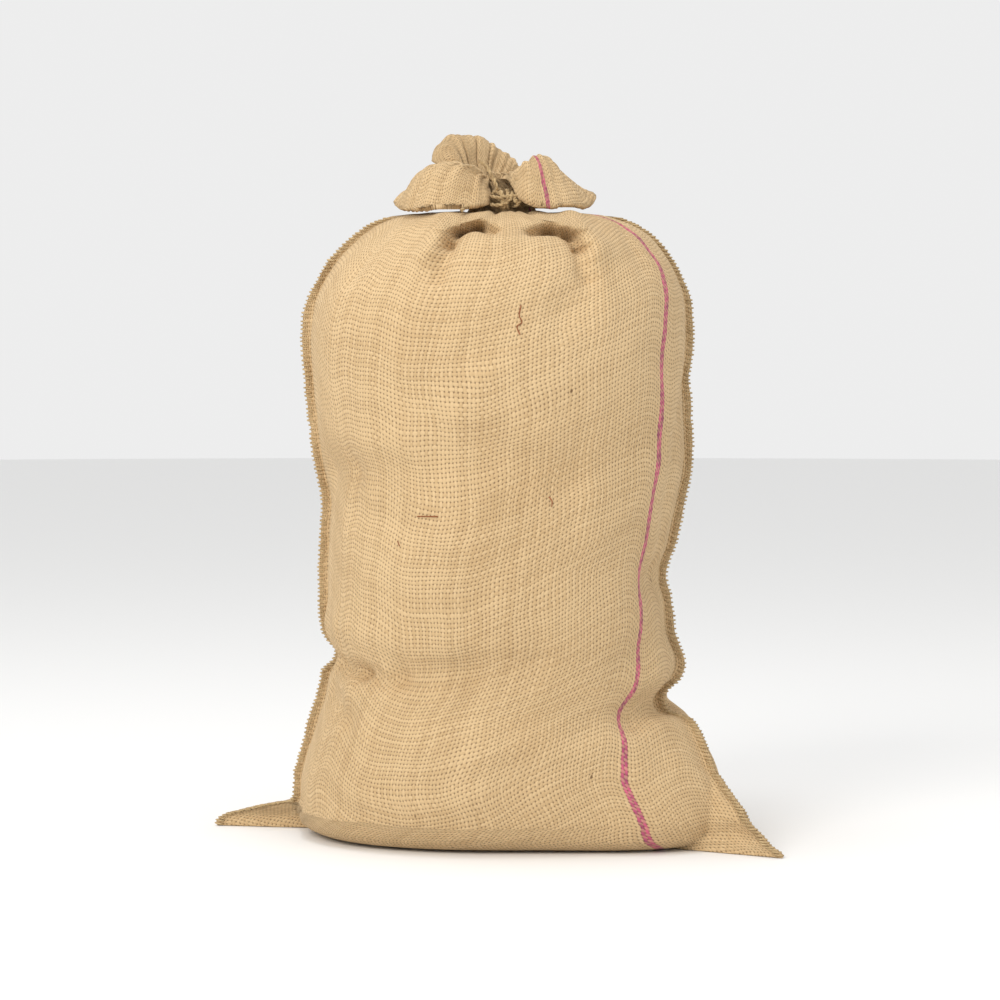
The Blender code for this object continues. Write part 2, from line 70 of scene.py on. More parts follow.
# Rings up the body, as in the CAD solid. left, right, front and back are half-sizes; square is the power of
# the superellipse; seams are azimuths from +X with the front at -90; an ear is how far the seam's edge reaches
# from the neck's axis, or 0 where there is only the flange; a corner is how far the body is drawn out to it.
RING_COLUMNS = (
    "height", "left", "right", "front", "back", "square",
    "left_seam", "right_seam", "left_ear", "right_ear", "left_corner", "right_corner",
)
RINGS = (
    (0, 144, 148, 112, 110, 2.30, 171, -33, 257, 279, 10, 34),
    (3, 158, 158, 127, 123, 2.30, 171, -33, 258, 278, 10, 36),
    (9, 169, 166, 136, 131, 2.30, 171, -33, 252, 268, 9, 38),
    (15, 174, 170, 142, 136, 2.30, 171, -32, 231, 259, 8, 38),
    (20, 177, 172, 145, 139, 2.30, 172, -32, 212, 253, 5, 38),
    (25, 178, 173, 148, 142, 2.30, 172, -32, 0, 247, 2, 37),
    (34, 178, 173, 151, 145, 2.30, 173, -31, 0, 238, 0, 35),
    (47, 177, 172, 154, 147, 2.30, 173, -29, 0, 222, 0, 31),
    (64, 173, 170, 155, 149, 2.30, 174, -27, 0, 203, 0, 24),
    (84, 166, 165, 155, 149, 2.30, 175, -24, 0, 188, 0, 15),
    (104, 160, 157, 152, 148, 2.30, 176, -20, 0, 0, 0, 6),
    (119, 155, 144, 148, 147, 2.30, 177, -15, 0, 0, 0, 0),
    (139, 151, 149, 145, 147, 2.30, 178, -11, 0, 0, 0, 0),
    (159, 146, 149, 144, 149, 2.30, 178, -8, 0, 0, 0, 0),
    (178, 150, 144, 150, 152, 2.30, 179, -6, 0, 0, 0, 0),
    (203, 152, 140, 154, 155, 2.30, 180, -5, 0, 0, 0, 0),
    (230, 152, 138, 156, 156, 2.30, 180, -4, 0, 0, 0, 0),
    (262, 151, 144, 155, 153, 2.30, 180, -3, 0, 0, 0, 0),
    (290, 149, 151, 151, 149, 2.30, 180, -2, 0, 0, 0, 0),
    (326, 156, 157, 147, 147, 2.30, 180, 0, 0, 0, 0, 0),
    (362, 161, 158, 149, 148, 2.30, 180, 1, 0, 0, 0, 0),
    (398, 165, 158, 150, 149, 2.30, 180, 2, 0, 0, 0, 0),
    (432, 167, 159, 146, 147, 2.28, 180, 4, 0, 0, 0, 0),
    (463, 163, 158, 137, 140, 2.25, 180, 7, 0, 0, 0, 0),
    (486, 153, 152, 127, 131, 2.20, 181, 9, 0, 0, 0, 0),
    (506, 139, 141, 112, 118, 2.15, 182, 10, 0, 0, 0, 0),
    (523, 122, 127, 94, 102, 2.10, 183, 10, 0, 0, 0, 0),
    (535, 103, 107, 75, 84, 2.05, 183, 10, 0, 0, 0, 0),
    (541, 83, 84, 58, 66, 2.00, 183, 10, 0, 0, 0, 0),
    (542, 62, 62, 44, 50, 2.00, 183, 10, 0, 0, 0, 0),
    (540, 43, 43, 34, 37, 2.00, 183, 10, 0, 0, 0, 0),
    (541, 31, 31, 28, 29, 2.00, 183, 10, 0, 0, 0, 0),
    (546, 27, 27, 26, 26, 2.00, 183, 10, 0, 0, 0, 0),
    (557, 26, 26, 26, 26, 2.00, 183, 10, 0, 0, 0, 0),
)
CORNER_WIDTH = 24.0  # degrees to each side that a drawn-out corner takes in
NECK_RINGS = 4  # the last rings of the table, where the flange is gathered in with the pleats
NECK_FLANGE = 1.5 * MM

# How finely the rings are drawn: from each share of the body's profile on, this far apart.
ROW_COLUMNS = ("from_height", "spacing")
ROW_SPACING = ((0, 2.6), (125, 4.2), (440, 2.8), (500, 2.0))

# Troughs and ridges across the body, each from one point to another as seen from its side. A depth below 0 is
# a trough. The distance at which it has mostly faded is its width.
CREASE_COLUMNS = ("side", "x0", "z0", "x1", "z1", "width", "depth")
CREASES = (
    # the round of the filling under the gathers, and the soft hollows beside it
    ("front", -18, 474, 22, 474, 44, 6),
    ("front", -22, 508, 30, 508, 16, 4),
    ("front", -62, 482, -46, 446, 15, -4),
    ("front", 88, 486, 48, 452, 16, -4),
    ("front", -28, 420, -20, 418, 16, -3),
    # the folds that come down from the tie past the pockets
    ("front", -50, 536, -66, 500, 11, 4),
    ("front", -66, 500, -70, 466, 14, 3),
    ("front", 60, 539, 82, 508, 12, 4),
    ("front", 82, 508, 86, 470, 14, 3),
    ("front", -100, 528, -128, 486, 9, -2),
    ("front", 104, 526, 120, 492, 9, -2),
    # the hollow at the left and the shallow troughs across the middle
    ("front", -150, 318, -132, 320, 18, -9),
    ("front", -130, 322, -54, 332, 14, -3.5),
    ("front", -120, 338, -70, 346, 16, 2.5),
    ("front", -18, 347, 54, 316, 15, -4.5),
    ("front", -30, 372, 40, 344, 16, 2.5),
    ("front", -124, 286, -84, 276, 13, -3.5),
    ("front", 158, 400, 134, 240, 13, -4),
    ("front", 136, 228, 126, 226, 16, -7),
    ("front", 20, 262, 84, 232, 18, -2.5),
    # the deep fold at the left, with the round above it hanging over
    ("front", -150, 186, -50, 170, 15, 5),
    ("front", -156, 158, -120, 149, 8, -8),
    ("front", -120, 149, -84, 148, 9, -8),
    ("front", -84, 148, -30, 152, 12, -4.5),
    ("front", -30, 152, 30, 162, 15, -2.5),
    ("front", -130, 132, -96, 132, 18, 3.5),
    ("front", -148, 128, -130, 108, 10, -4),
    # the notch above the right ear, and what runs in from it
    ("front", 152, 122, 140, 124, 13, -8),
    ("front", 140, 124, 108, 110, 12, -5),
    ("front", 108, 110, 70, 104, 15, -3),
    ("front", 120, 168, 104, 160, 16, -4),
    ("front", 150, 150, 132, 146, 12, 3),
    ("front", -60, 92, 60, 92, 44, 3),
    # the tuck where each ear leaves the body
    ("front", 214, 40, 186, 10, 9, -4),
    ("front", 150, 76, 190, 44, 12, 2.5),
    ("front", -176, 30, -186, 8, 8, -5),
    ("front", -150, 44, -120, 26, 14, -3),
    # the back's own folds
    ("back", 20, 540, 34, 506, 9, -7),
    ("back", -30, 540, -58, 500, 10, -7),
    ("back", 70, 534, 96, 498, 10, -4),
    ("back", -6, 500, 4, 450, 34, 4),
    ("back", -140, 300, -40, 314, 15, -6),
    ("back", 140, 226, 30, 252, 15, -6),
    ("back", -150, 160, -60, 166, 12, -6),
    ("back", 140, 118, 60, 132, 15, -5),
    ("back", -60, 400, 60, 392, 20, -3),
    ("back", -20, 210, 80, 196, 18, -3),
)
CREASE_SAMPLES = 11

# Folds that hang over: a line of the cloth moved bodily, x and z as seen from the front.
PULL_COLUMNS = ("x0", "z0", "x1", "z1", "width", "right", "inwards", "up")
PULLS = (
    # the left gather and the pocket below it
    (-10, 540, -30, 537, 7, 0, -6, -2),
    (-30, 537, -50, 527, 8, -1, -8, -3),
    (-50, 527, -60, 503, 9, 0, -6, -1),
    (-9, 524, -20, 530, 6, 0, 15, -4),
    (-20, 530, -36, 526, 6, 0, 18, -5),
    (-36, 526, -47, 511, 6, 2, 13, -3),
    (-47, 511, -53, 484, 7, 3, 7, 0),
    # the right gather and its pocket
    (14, 540, 40, 538, 7, 0, -6, -2),
    (40, 538, 64, 528, 8, 1, -8, -3),
    (64, 528, 76, 504, 9, 0, -6, -1),
    (24, 523, 40, 527, 6, 0, 15, -4),
    (40, 527, 56, 523, 6, 0, 19, -6),
    (56, 523, 66, 508, 6, -2, 13, -3),
    (66, 508, 70, 484, 7, -3, 7, 0),
    # the deep fold at the left
    (-150, 166, -100, 157, 9, 0, -3, -3),
)

# Pleats that run out from the tie over the shoulder
PLEAT_WAVES = ((13, 1.5, 0.4), (21, 1.1, 2.0), (34, 0.7, 5.1))  # number round the neck, height in mm, turn
PLEAT_REACH = 34 * MM

# Unevenness of the filled cloth: size of a lump, and how far it stands, in mm
LUMPS = ((70, 1.6), (34, 1.0), (17, 0.45))

# Folds of the mouth, above the tie, going round from the left seam by way of the front. share is how much of
# the mouth's cloth has been passed; azimuth is where the fold stands, with the left seam at 180, the front at
# 270 and the right at 360; the crest is the fold's highest part and the hem is its edge, each with its reach
# from the neck's axis and its height above the tie's middle; turn is how far round the hem stands from the crest.
FOLD_COLUMNS = ("share", "azimuth", "crest_reach", "crest_height", "hem_reach", "hem_height", "turn")
FOLDS = (
    (0.000, 180, 56, 18, 84, 4, 0),
    (0.030, 186, 62, 23, 92, -2, 0),
    (0.060, 194, 68, 27, 90, -6, 0),
    (0.100, 205, 68, 30, 88, -11, 2),
    (0.135, 216, 60, 30, 84, -15, 5),
    (0.165, 226, 48, 27, 74, -14, 8),
    (0.190, 234, 40, 22, 62, -9, 10),
    (0.215, 243, 34, 20, 48, -4, 8),
    (0.235, 250, 28, 22, 34, 6, -6),
    (0.260, 254, 30, 22, 33, 20, -10),
    (0.290, 264, 31, 20, 31, 24, 0),
    (0.320, 280, 32, 22, 36, 16, 4),
    (0.350, 294, 36, 27, 46, 2, -4),
    (0.380, 305, 42, 34, 60, -6, -6),
    (0.415, 318, 46, 38, 70, -8, -4),
    (0.450, 330, 48, 34, 76, -7, 0),
    (0.480, 342, 48, 26, 80, -3, 2),
    (0.510, 352, 50, 16, 80, 4, 2),
    (0.540, 362, 45, 14, 70, 9, 0),
    (0.575, 374, 34, 18, 46, 14, 0),
    (0.610, 388, 42, 26, 60, 16, 0),
    (0.650, 402, 48, 31, 68, 18, 0),
    (0.690, 416, 36, 27, 46, 24, 0),
    (0.725, 430, 28, 28, 34, 32, 0),
    (0.760, 442, 30, 36, 42, 38, 0),
    (0.800, 457, 38, 47, 54, 42, 0),
    (0.840, 472, 40, 54, 58, 44, 2),
    (0.880, 488, 46, 59, 62, 44, 6),
    (0.915, 500, 52, 58, 66, 42, 10),
    (0.945, 511, 52, 50, 62, 36, 12),
    (0.970, 522, 46, 34, 54, 28, 8),
    (0.985, 531, 48, 24, 66, 16, 2),
)
CREST_AT = 0.55  # the crest's place along the way from the neck to the hem
GATHERS = ((29, 0.9, 0.7), (47, 0.8, 2.9), (71, 0.5, 4.4))  # number round the mouth, height in mm, turn
BODY_CLEARANCE = 3.0 * MM  # between the mouth's hanging folds and the shoulder below them

# The twine
TWINE = 3.6 * MM
STRAND = 1.05 * MM  # radius of each of its two strands
TWIST = 9 * MM  # length of one full turn of the strands
TIE_RADIUS = 30.6 * MM
END_LOW = ((-13.5, -42, 551), (-18, -45, 550), (-23, -49, 549), (-28, -54, 547), (-32, -60, 545), (-35, -67, 542))
END_HIGH = ((-4, -42, 561), (-6, -44, 566), (-8, -44, 571), (-11, -42, 577), (-15, -40, 582), (-20, -38, 586))

# The overcast seams
STITCH_STEP = 3.7 * MM
STITCH_REACH = 6.0 * MM  # how far in from the edge a stitch goes through the cloth
STITCH_THREAD = 0.75 * MM  # radius
STITCH_SLANT = 1.6 * MM

# The weave, as this cloth is counted: one warp end and one weft pick
WARP_PITCH = 3.1 * MM
WEFT_PITCH = 3.7 * MM
STRIPE_END = 127  # the first of the two warp ends that are dyed pink, counted from the left seam

# Colours, linear
HESSIAN_PALE = (0.66, 0.475, 0.265)
HESSIAN_MID = (0.50, 0.335, 0.17)
# painted shade: the colour the gaps between the yarns are darkened to
PAINTED_GAP_SHADE = (0.12, 0.068, 0.030)
PINK = (0.62, 0.115, 0.215)
PINK_DARK = (0.30, 0.055, 0.13)
JUTE_PALE = (0.55, 0.40, 0.21)
JUTE_DARK = (0.25, 0.16, 0.075)
RUST = (0.36, 0.12, 0.045)


# ---------------------------------------------------------------- numbers


def table(columns, rows, name):
    """One column of a table as an array."""
    return np.array([line[columns.index(name)] for line in rows], float)


def hermite(knots, values, at):
    """A smooth curve through values at knots, read at other places; it doesn't overshoot between its knots."""
    span = np.diff(knots)
    rise = np.diff(values) / span
    slope = np.zeros(len(knots))
    slope[0], slope[-1] = rise[0], rise[-1]
    same_way = rise[:-1] * rise[1:] > 0
    near, far = 2 * span[1:] + span[:-1], span[1:] + 2 * span[:-1]
    with np.errstate(divide="ignore", invalid="ignore"):
        mean = (near + far) / (near / rise[:-1] + far / rise[1:])
    slope[1:-1] = np.where(same_way, mean, 0)
    spot = np.clip(np.searchsorted(knots, at, side="right") - 1, 0, len(span) - 1)
    part = (at - knots[spot]) / span[spot]
    return cubic(part, values[spot], slope[spot] * span[spot], values[spot + 1], slope[spot + 1] * span[spot])


def cubic(part, low, rise, high, fall):
    """Cubic Hermite between two values with the slopes at both."""
    third, square = part**3, part**2
    return (
        (2 * third - 3 * square + 1) * low
        + (third - 2 * square + part) * rise
        + (3 * square - 2 * third) * high
        + (third - square) * fall
    )


def round_and_round(shares, values, at):
    """A smooth closed curve through values at shares of one turn, read at other shares."""
    shares = np.concatenate([shares[-2:] - 1, shares, shares[:3] + 1])
    values = np.concatenate([values[-2:], values, values[:3]])
    spot = np.clip(np.searchsorted(shares, at, side="right") - 1, 1, len(shares) - 3)
    span = shares[spot + 1] - shares[spot]
    slope = (values[2:] - values[:-2]) / (shares[2:] - shares[:-2])
    part = (at - shares[spot]) / span
    return cubic(part, values[spot], slope[spot - 1] * span, values[spot + 1], slope[spot] * span)


def spread_evenly(points, count):
    """count points along a line of points, the same distance apart."""
    along = lengths_along(points)
    at = np.linspace(0, along[-1], count)
    return np.stack([np.interp(at, along, points[:, k]) for k in range(points.shape[1])], axis=1)


def lengths_along(points):
    """The distance along a line of points to each of them."""
    return np.concatenate([[0], np.cumsum(np.linalg.norm(np.diff(points, axis=0), axis=1))])


def unit(vectors):
    return vectors / np.maximum(np.linalg.norm(vectors, axis=-1, keepdims=True), 1e-12)


# ---------------------------------------------------------------- the body


def outline(ring, azimuth):
    """How far the body reaches from its axis at these azimuths, in radians, with its corners drawn out."""
    across = np.where(np.cos(azimuth) < 0, ring["left"], ring["right"])
    along = np.where(np.sin(azimuth) < 0, ring["front"], ring["back"])
    power = ring["square"]
    reach = (np.abs(np.cos(azimuth) / across) ** power + np.abs(np.sin(azimuth) / along) ** power) ** (-1 / power)
    for side in ("left", "right"):
        away = azimuth - math.radians(ring[side + "_seam"])
        away = np.degrees(np.arctan2(np.sin(away), np.cos(away)))
        reach = reach + ring[side + "_corner"] * np.exp(-((away / CORNER_WIDTH) ** 2))
    return reach


def seam_reach(ring, side):
    """How far the body reaches from its axis at a seam."""
    return float(outline(ring, np.array([math.radians(ring[side + "_seam"])]))[0])


def table_rings():
    """The table's rings as dictionaries in metres, each with the reach of its two seam edges."""
    turns = ("square", "left_seam", "right_seam")
    rings = []
    for number, values in enumerate(RINGS):
        ring = {name: value * (1 if name in turns else MM) for name, value in zip(RING_COLUMNS, values)}
        stands_out = NECK_FLANGE if number >= len(RINGS) - NECK_RINGS else FLANGE_REACH
        for side in ("left", "right"):
            ring[side + "_edge"] = max(seam_reach(ring, side) + stands_out, ring[side + "_ear"])
        rings.append(ring)
    return rings


def fine_rings():
    """Rings close together, read from smooth curves through the table's."""
    rings = table_rings()
    names = [name for name in rings[0] if not name.endswith("_ear")]
    columns = {name: np.array([ring[name] for ring in rings]) for name in names}
    middle = np.mean([columns[side] for side in ("left", "right", "front", "back")], axis=0)
    profile = lengths_along(np.stack([middle, columns["height"]], axis=1))
    at = [0.0]
    while at[-1] < profile[-1]:
        height = np.interp(at[-1], profile, columns["height"]) / MM
        inward = at[-1] > profile[np.argmax(columns["height"] >= 0.5)]
        spacing = ROW_SPACING[-1][1] if inward else [gap for low, gap in ROW_SPACING if height >= low][-1]
        at.append(at[-1] + spacing * MM)
    at[-1] = profile[-1]
    at = np.array(at)
    smooth = {name: hermite(profile, column, at) for name, column in columns.items()}
    return [{name: smooth[name][k] for name in names} for k in range(len(at))]


def seam_columns(ring, side, face):
    """Points of one face of a seam's flange, from its edge in to its root."""
    seam = math.radians(ring[side + "_seam"])
    outwards = np.array([math.cos(seam), math.sin(seam)])
    sideways = np.array([-outwards[1], outwards[0]]) * face
    root_reach = seam_reach(ring, side)
    edge = ring[side + "_edge"]
    width = min(FLANGE_REACH, edge - root_reach)
    part = np.linspace(0, 1, FLANGE_STEPS + 1)[:, None]
    thick = FLANGE_TIP + (FLANGE_ROOT - FLANGE_TIP) * part * width / (edge - root_reach)
    return outwards * (edge - width * part) + sideways * thick


def ring_points(ring):
    """One ring round the sack: front half from the left seam to the right, then the back half."""
    left = math.radians(ring["left_seam"])
    right = math.radians(ring["right_seam"] + 360)
    clear = math.asin(min(0.9, FLANGE_ROOT / ring["front"]))
    halves = []
    spans = ((left, right, ("left", 1), ("right", -1)), (right, left + 2 * math.pi, ("right", 1), ("left", -1)))
    for start, end, first, last in spans:
        azimuth = np.linspace(start + clear, end - clear, 360)
        reach = outline(ring, azimuth)
        body = np.stack([reach * np.cos(azimuth), reach * np.sin(azimuth)], axis=1)
        begin = seam_columns(ring, *first)
        finish = seam_columns(ring, *last)
        inner = np.concatenate([begin[-1:], body, finish[-1:]])
        inner = spread_evenly(inner, HALF - 2 * FLANGE_STEPS)
        halves.append(np.concatenate([begin[:-1], inner, finish[:-1][::-1]]))
    flat = np.concatenate(halves)
    return np.column_stack([flat, np.full(len(flat), ring["height"])])


def normals_of(grid):
    """Outward unit normals of a grid of closed rings."""
    around = np.roll(grid, -1, axis=1) - np.roll(grid, 1, axis=1)
    return unit(np.cross(around, np.gradient(grid, axis=0)))


def nearness(grid, side, line, width):
    """1 on a line across one side of the body, fading to 0 at about its width. line is x0, z0, x1, z1 in mm."""
    on_side = grid[..., 1] < 0 if side == "front" else grid[..., 1] > 0
    points = grid[on_side]
    nearest = np.full(grid.shape[:2], np.inf)
    for share in np.linspace(0, 1, CREASE_SAMPLES):
        x = (line[0] + share * (line[2] - line[0])) * MM
        z = (line[1] + share * (line[3] - line[1])) * MM
        centre = points[np.argmin((points[:, 0] - x) ** 2 + (points[:, 2] - z) ** 2)]
        nearest = np.minimum(nearest, np.linalg.norm(grid - centre, axis=2))
    return np.exp(-((nearest / (width * MM)) ** 2))


def lumps(grid, seed):
    """Smooth unevenness over the cloth, in metres."""
    rise = np.zeros(grid.shape[:2])
    for size, height in LUMPS:
        for index in np.ndindex(grid.shape[:2]):
            place = Vector(grid[index]) / (size * MM) + Vector((seed, size, 0))
            rise[index] += height * MM * noise.noise(place)
    return rise


def creased(grid):
    """The rings with every trough, ridge, pleat and lump pressed in, and the hanging folds drawn out."""
    push = lumps(grid, 3.0)
    for values in CREASES:
        crease = dict(zip(CREASE_COLUMNS, values))
        line = [crease[name] for name in ("x0", "z0", "x1", "z1")]
        push += crease["depth"] * MM * nearness(grid, crease["side"], line, crease["width"])
    from_axis = np.linalg.norm(grid[..., :2], axis=2)
    off_neck = np.clip((from_axis - NECK_RADIUS) / (12 * MM), 0, 1)
    push *= off_neck
    azimuth = np.arctan2(grid[..., 1], grid[..., 0])
    top = grid[..., 2] > 0.4
    near_tie = np.exp(-((np.maximum(from_axis - NECK_RADIUS, 0) / PLEAT_REACH) ** 2)) * top
    for count, height, turn in PLEAT_WAVES:
        push += height * MM * near_tie * np.sin(count * azimuth + turn + 30 * (from_axis - NECK_RADIUS))
    on_floor = np.clip(grid[..., 2] / 0.02, 0, 1)
    move = normals_of(grid) * (push * on_floor)[..., None]
    for values in PULLS:
        pull = dict(zip(PULL_COLUMNS, values))
        line = [pull[name] for name in ("x0", "z0", "x1", "z1")]
        way = np.array([pull["right"], pull["inwards"], pull["up"]]) * MM
        move += (nearness(grid, "front", line, pull["width"]) * off_neck)[..., None] * way
    return grid + with_stiff_seams(move)


def with_stiff_seams(move):
    """The moves again, with each seam's flange carried along whole by the cloth on its two sides."""
    count = move.shape[1]
    half = count // 2
    inside = FLANGE_STEPS + 1
    for middle in (0, half):
        front, back = (middle + inside) % count, (middle - 1 - inside) % count
        carried = 0.5 * (move[:, front] + move[:, back])
        for step in range(-inside, inside):
            move[:, (middle + step) % count] = carried
    return move


def wavy_seams(grid):
    """The seams' edges a little uneven, as stitching pulls them: in and out, and to either side."""
    count = grid.shape[1]
    for middle, seed in ((0, 5.0), (count // 2, 9.0)):
        edge = 0.5 * (grid[:, middle] + grid[:, middle - 1])
        root = 0.5 * (grid[:, middle + FLANGE_STEPS] + grid[:, middle - 1 - FLANGE_STEPS])
        outwards = unit(edge - root)
        sideways = unit(grid[:, middle] - grid[:, middle - 1])
        along = lengths_along(edge)
        for row, (place, height) in enumerate(zip(along, grid[:, middle, 2])):
            free = min(1.0, height / 0.03)
            reach = 1.0 * MM * noise.noise(Vector((place / 0.011, seed, 0)))
            reach += 1.2 * MM * noise.noise(Vector((place / 0.034, seed, 1)))
            lean = 3.2 * MM * noise.noise(Vector((place / 0.045, seed, 2)))
            for step in range(-FLANGE_STEPS - 1, FLANGE_STEPS + 1):
                share = 1 - (step if step >= 0 else -step - 1) / FLANGE_STEPS
                move = outwards[row] * reach + sideways[row] * lean * share
                grid[row, (middle + step) % count] += move * max(0.0, share) * free
    return grid


# ---------------------------------------------------------------- the mouth above the tie


def quadratic(part):
    """Weights of the neck, the crest and the hem at a part of the way along a fold."""
    crest = CREST_AT
    neck_weight = (part - crest) * (part - 1) / crest
    crest_weight = part * (1 - part) / (crest * (1 - crest))
    hem_weight = part * (part - crest) / (1 - crest)
    return neck_weight, crest_weight, hem_weight


def frill_rings(neck):
    """The rings from the neck's last ring, up over the folds' crests and out to the hem."""
    count = neck.shape[0]
    at = (np.arange(count) + 0.5) / count
    shares = table(FOLD_COLUMNS, FOLDS, "share")
    azimuths = table(FOLD_COLUMNS, FOLDS, "azimuth")
    turn = np.radians(360 * at + round_and_round(shares, azimuths - 360 * shares, at))
    fold = {name: round_and_round(shares, table(FOLD_COLUMNS, FOLDS, name), at) for name in FOLD_COLUMNS[2:]}
    start = np.unwrap(np.arctan2(neck[:, 1], neck[:, 0]))
    start = start + 2 * math.pi * np.round((turn[0] - start[0]) / (2 * math.pi))
    start_reach = np.linalg.norm(neck[:, :2], axis=1)
    start_height = neck[:, 2] - TIE_HEIGHT
    rings = []
    for step in range(1, FRILL_STEPS + 1):
        part = step / FRILL_STEPS
        swing = min(1.0, part / CREST_AT)
        swing = swing * swing * (3 - 2 * swing)
        past_crest = max(0.0, (part - CREST_AT) / (1 - CREST_AT))
        azimuth = start + (turn - start) * swing + np.radians(fold["turn"]) * past_crest
        weights = quadratic(part)
        crest_reach, hem_reach = fold["crest_reach"] * MM, fold["hem_reach"] * MM
        crest_height, hem_height = fold["crest_height"] * MM, fold["hem_height"] * MM
        reach = weights[0] * start_reach + weights[1] * crest_reach + weights[2] * hem_reach
        height = weights[0] * start_height + weights[1] * crest_height + weights[2] * hem_height
        ring = [reach * np.cos(azimuth), reach * np.sin(azimuth), TIE_HEIGHT + height]
        rings.append(np.stack(ring, axis=1))
    return np.array(rings)


def gathered(frill, neck):
    """The mouth's rings with small gathers, strong at the tie and fading to the hem, and soft lumps."""
    whole = np.concatenate([neck[None], frill])
    normal = normals_of(whole)[1:]
    steps, count = frill.shape[:2]
    part = (np.arange(1, steps + 1) / steps)[:, None]
    at = (np.arange(count) / count)[None]
    rise = np.zeros((steps, count))
    for waves, height, turn in GATHERS:
        wander = 0.25 * np.sin(2 * math.pi * 3 * at + turn) + 0.4 * part
        rise += height * MM * np.sin(2 * math.pi * waves * at + turn + wander) * (1.15 - 0.75 * part)
    for index in np.ndindex(frill.shape[:2]):
        place = Vector(frill[index])
        rise[index] += 2.2 * MM * noise.noise(place / 0.016) + 1.0 * MM * noise.noise(place / 0.007)
    rise *= np.clip(part * 5, 0, 1)
    return frill + normal * rise[..., None]


def above_the_shoulder(frill, body):
    """The mouth's rings lifted wherever they would hang into the shoulder below them."""
    shoulder = body[body[..., 2] > TIE_HEIGHT - 0.1].reshape(-1, 3)
    cell = 4 * MM
    size = 64
    floor_of = np.full((size, size), -1.0)
    spots = np.clip((shoulder[:, :2] / cell + size / 2).astype(int), 0, size - 1)
    np.maximum.at(floor_of, (spots[:, 0], spots[:, 1]), shoulder[:, 2])
    for index in np.ndindex(frill.shape[:2]):
        x, y, z = frill[index]
        if math.hypot(x, y) < NECK_RADIUS + 6 * MM:
            continue
        column, row = int(x / cell + size / 2), int(y / cell + size / 2)
        low = floor_of[max(0, column - 1):column + 2, max(0, row - 1):row + 2].max()
        frill[index][2] = max(z, low + BODY_CLEARANCE)
    return frill


def evened(normal, rounds):
    """The normals again, each the mean of its near neighbours round the ring."""
    for _ in range(rounds):
        normal = unit(normal + np.roll(normal, 1, axis=1) + np.roll(normal, -1, axis=1))
    return normal


# ---------------------------------------------------------------- the sack as a mesh


def cloth_places(body, frill):
    """u round the sack and v up it, in metres of flat cloth, for every ring from the floor to the hem."""
    grid = np.concatenate([body, frill])
    columns = grid.shape[1]
    steps = np.linalg.norm(np.diff(grid, axis=0), axis=2)
    steps = np.concatenate([np.zeros((1, columns)), steps])
    v = np.cumsum(steps, axis=0)
    left, right = grid[0, 0, :2], grid[0, columns // 2, :2]
    fold = (right - left) / np.linalg.norm(right - left)
    off = grid[0, :, :2] - left
    v = v + np.abs(off[:, 0] * fold[1] - off[:, 1] * fold[0])[None]
    for _ in range(12):
        v = (v + np.roll(v, 1, axis=1) + np.roll(v, -1, axis=1)) / 3
    u = np.arange(columns) * 2 * SACK_WIDTH / columns
    return u, v


def mesh_object(name, points, faces, finish, smooth=True):
    mesh = bpy.data.meshes.new(name)
    mesh.from_pydata([tuple(p) for p in points], [], faces)
    mesh.materials.append(finish)
    if smooth:
        mesh.shade_smooth()
    thing = bpy.data.objects.new(name, mesh)
    bpy.context.scene.collection.objects.link(thing)
    return thing


def make_sack(finish):
    """One closed skin: base, body, neck, the outside of the mouth's folds, then their inside down to the neck."""
    body = np.array([ring_points(ring) for ring in fine_rings()])
    body = wavy_seams(creased(body))
    frill = frill_rings(body[-1])
    frill = above_the_shoulder(gathered(frill, body[-1]), body)
    u, v = cloth_places(body, frill)

    whole = np.concatenate([body, frill])
    normal = evened(normals_of(whole), 4)[len(body):]
    part = (np.arange(1, FRILL_STEPS + 1) / FRILL_STEPS)[:, None, None]
    hem = np.clip((part - (1 - HEM_SHARE)) / 0.03, 0, 1)
    thick = CLOTH * np.clip(part * 5, 0, 1) + (HEM - CLOTH) * hem
    inside = (frill - normal * thick)[::-1]
    outside = frill + normal * (hem * 0.5 * (HEM - CLOTH))
    rings = np.concatenate([body, outside, inside])
    v = np.concatenate([v, v[len(body):][::-1]])

    count = rings.shape[1]
    points = rings.reshape(-1, 3) + AXIS
    faces = []
    places = []
    for ring in range(len(rings) - 1):
        for k in range(count):
            after = (k + 1) % count
            faces.append((ring * count + k, ring * count + after, (ring + 1) * count + after, (ring + 1) * count + k))
            next_u = u[k] + 2 * SACK_WIDTH / count
            places += [(u[k], v[ring, k]), (next_u, v[ring, after]), (next_u, v[ring + 1, after]), (u[k], v[ring + 1, k])]
    faces.append(tuple(range(count))[::-1])
    places += [(points[k][0], points[k][1]) for k in range(count)][::-1]
    last = (len(rings) - 1) * count
    faces.append(tuple(range(last, last + count)))
    places += [(u[k], v[-1, k]) for k in range(count)]
    sack = mesh_object("sack_cloth", points, faces, finish)
    layer = sack.data.uv_layers.new(name="cloth")
    layer.data.foreach_set("uv", np.array(places, np.float32).ravel())
    return sack, body


# ---------------------------------------------------------------- yarn and twine


